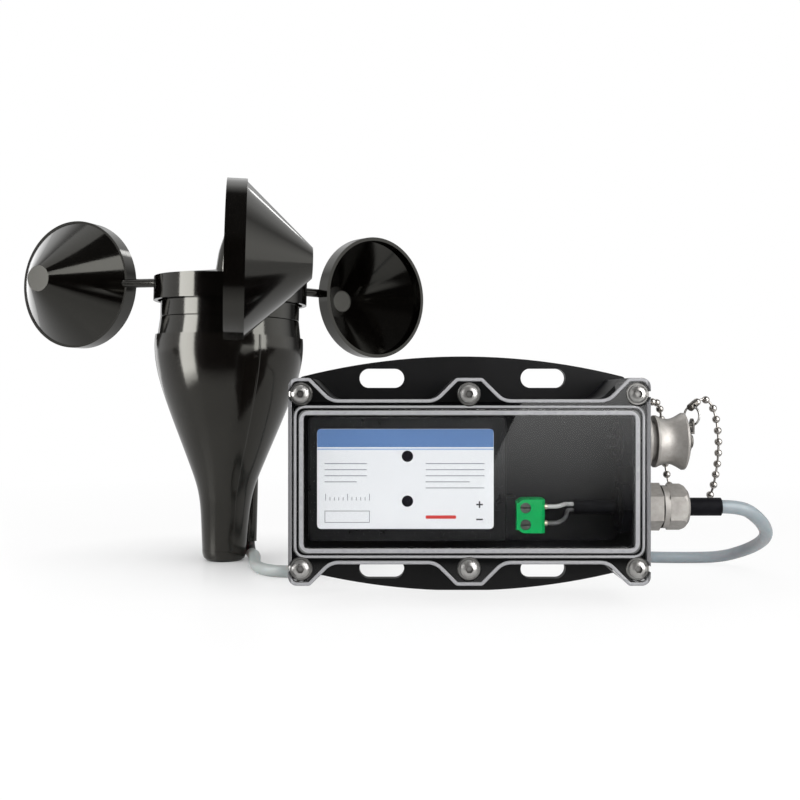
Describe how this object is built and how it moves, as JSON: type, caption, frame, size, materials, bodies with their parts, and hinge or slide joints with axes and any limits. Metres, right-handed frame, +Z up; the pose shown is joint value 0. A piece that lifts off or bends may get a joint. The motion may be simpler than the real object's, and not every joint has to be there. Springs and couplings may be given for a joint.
{
  "type": "cup anemometer with recorder",
  "caption": "Cup anemometer head on a vinyl boot, joined by a cable to a clear-lidded weatherproof box that holds a small wind recorder.",
  "frame": {"origin": "centre of the mast socket's mouth, under the sensor head", "axes": "+X from the sensor head to the recorder box, -Y towards the side that the box's window faces, +Z up"},
  "size_m": [0.2837, 0.1656, 0.1335],
  "materials": {
    "head_plastic": "glossy near-black moulding",
    "boot_vinyl": "glossy soft vinyl",
    "steel": "satin stainless steel",
    "ferrite": "dull ferrite",
    "bronze": "oiled sintered bronze",
    "copper": "enamelled copper wire",
    "nylon": "natural nylon",
    "soft_iron": "plated soft iron",
    "tinned_brass": "tinned brass",
    "cable_jacket": "light blue-grey vinyl jacket",
    "black_rubber": "matt black rubber",
    "box_black": "finely textured black moulding",
    "clear_lid": "clear polycarbonate",
    "brass": "turned brass",
    "module_black": "satin black moulding",
    "label": "printed film, white with blue",
    "lens": "dark tinted lens",
    "board": "green circuit board",
    "battery": "sleeved metal can",
    "plug_green": "bright green moulding",
    "wire_light": "light grey insulation",
    "wire_dark": "dark insulation",
    "foam": "closed-cell foam",
    "nickel": "satin nickel plate",
    "dark_metal": "blackened rivet and washer"
  },
  "bodies": {
    "base": {"housing": "head_plastic", "upper_bearing": "bronze", "lower_bearing": "bronze", "mast_stem": "head_plastic", "pole_piece": "soft_iron", "coil_bobbin": "nylon", "coil_winding": "copper", "terminal_studs": "tinned_brass", "ring_lugs": "tinned_brass", "terminal_nuts": "tinned_brass", "boot": "boot_vinyl", "mast_set_screw": "steel", "sensor_leads": "wire_dark", "sensor_cable": "cable_jacket", "cable_in_gland": "cable_jacket", "cable_sleeve": "black_rubber", "box_base": "box_black", "lid_gasket": "black_rubber", "screw_inserts": "brass", "module_back": "module_black", "module_front": "module_black", "module_label": "label", "indicator_lenses": "lens", "circuit_board": "board", "battery": "battery", "mounting_pads": "foam", "terminal_header": "module_black", "terminal_plug": "plug_green", "clamp_screws": "steel", "wire_ferrules": "tinned_brass", "signal_wire": "wire_light", "ground_wire": "wire_dark", "gland_washer": "black_rubber", "gland_body": "nickel", "gland_locknut": "nickel", "gland_seal": "black_rubber", "port_shell": "nickel", "port_insert": "module_black", "port_locknut": "nickel", "chain_anchor": "nickel", "bead_chain": "nickel"},
    "rotor": {"rotor_hub": "head_plastic", "cup_1": "head_plastic", "cup_2": "head_plastic", "cup_3": "head_plastic", "rotor_shaft": "steel", "ring_magnet": "ferrite", "shaft_clip": "steel"},
    "lid": {"clear_lid": "clear_lid", "lid_screws": "steel", "lid_washers": "steel"},
    "cap_carrier": {"cap_swivel": "dark_metal", "cap_ring": "steel", "chain_clasp": "dark_metal"},
    "cap": {"dust_cap": "nickel", "cap_gasket": "black_rubber", "cap_rivet": "dark_metal"},
    "nut_carrier": {"slip_ring": "nickel"},
    "nut": {"gland_nut": "nickel"}
  },
  "joints": [
    {"name": "rotor_spin", "type": "hinge", "parent": "base", "child": "rotor", "pos_m": [0, 0, 0], "axis": [0.0262, 0, 0.9997], "continuous": true},
    {"name": "lid_lift", "type": "slide", "parent": "base", "child": "lid", "axis": [0, -1, 0], "range_m": [0, 0.014]},
    {"name": "cap_travel", "type": "slide", "parent": "base", "child": "cap_carrier", "axis": [1, 0, 0], "range_m": [0, 0.0075], "deforming": ["bead_chain"]},
    {"name": "cap_turn", "type": "hinge", "parent": "cap_carrier", "child": "cap", "pos_m": [0.1401, -0.0775, 0.04843], "axis": [1, 0, 0], "range_deg": [-0.5, 2700.5]},
    {"name": "nut_travel", "type": "slide", "parent": "base", "child": "nut_carrier", "axis": [1, 0, 0], "range_m": [0, 0.003]},
    {"name": "nut_turn", "type": "hinge", "parent": "nut_carrier", "child": "nut", "pos_m": [0.1401, -0.0775, 0.02823], "axis": [1, 0, 0], "range_deg": [-0.5, 720.5]}
  ],
  "couplings": [
    {"joint": "cap_turn", "follows": "cap_travel", "rad_per_m": 6283.2},
    {"joint": "nut_turn", "follows": "nut_travel", "rad_per_m": 4188.8}
  ]
}
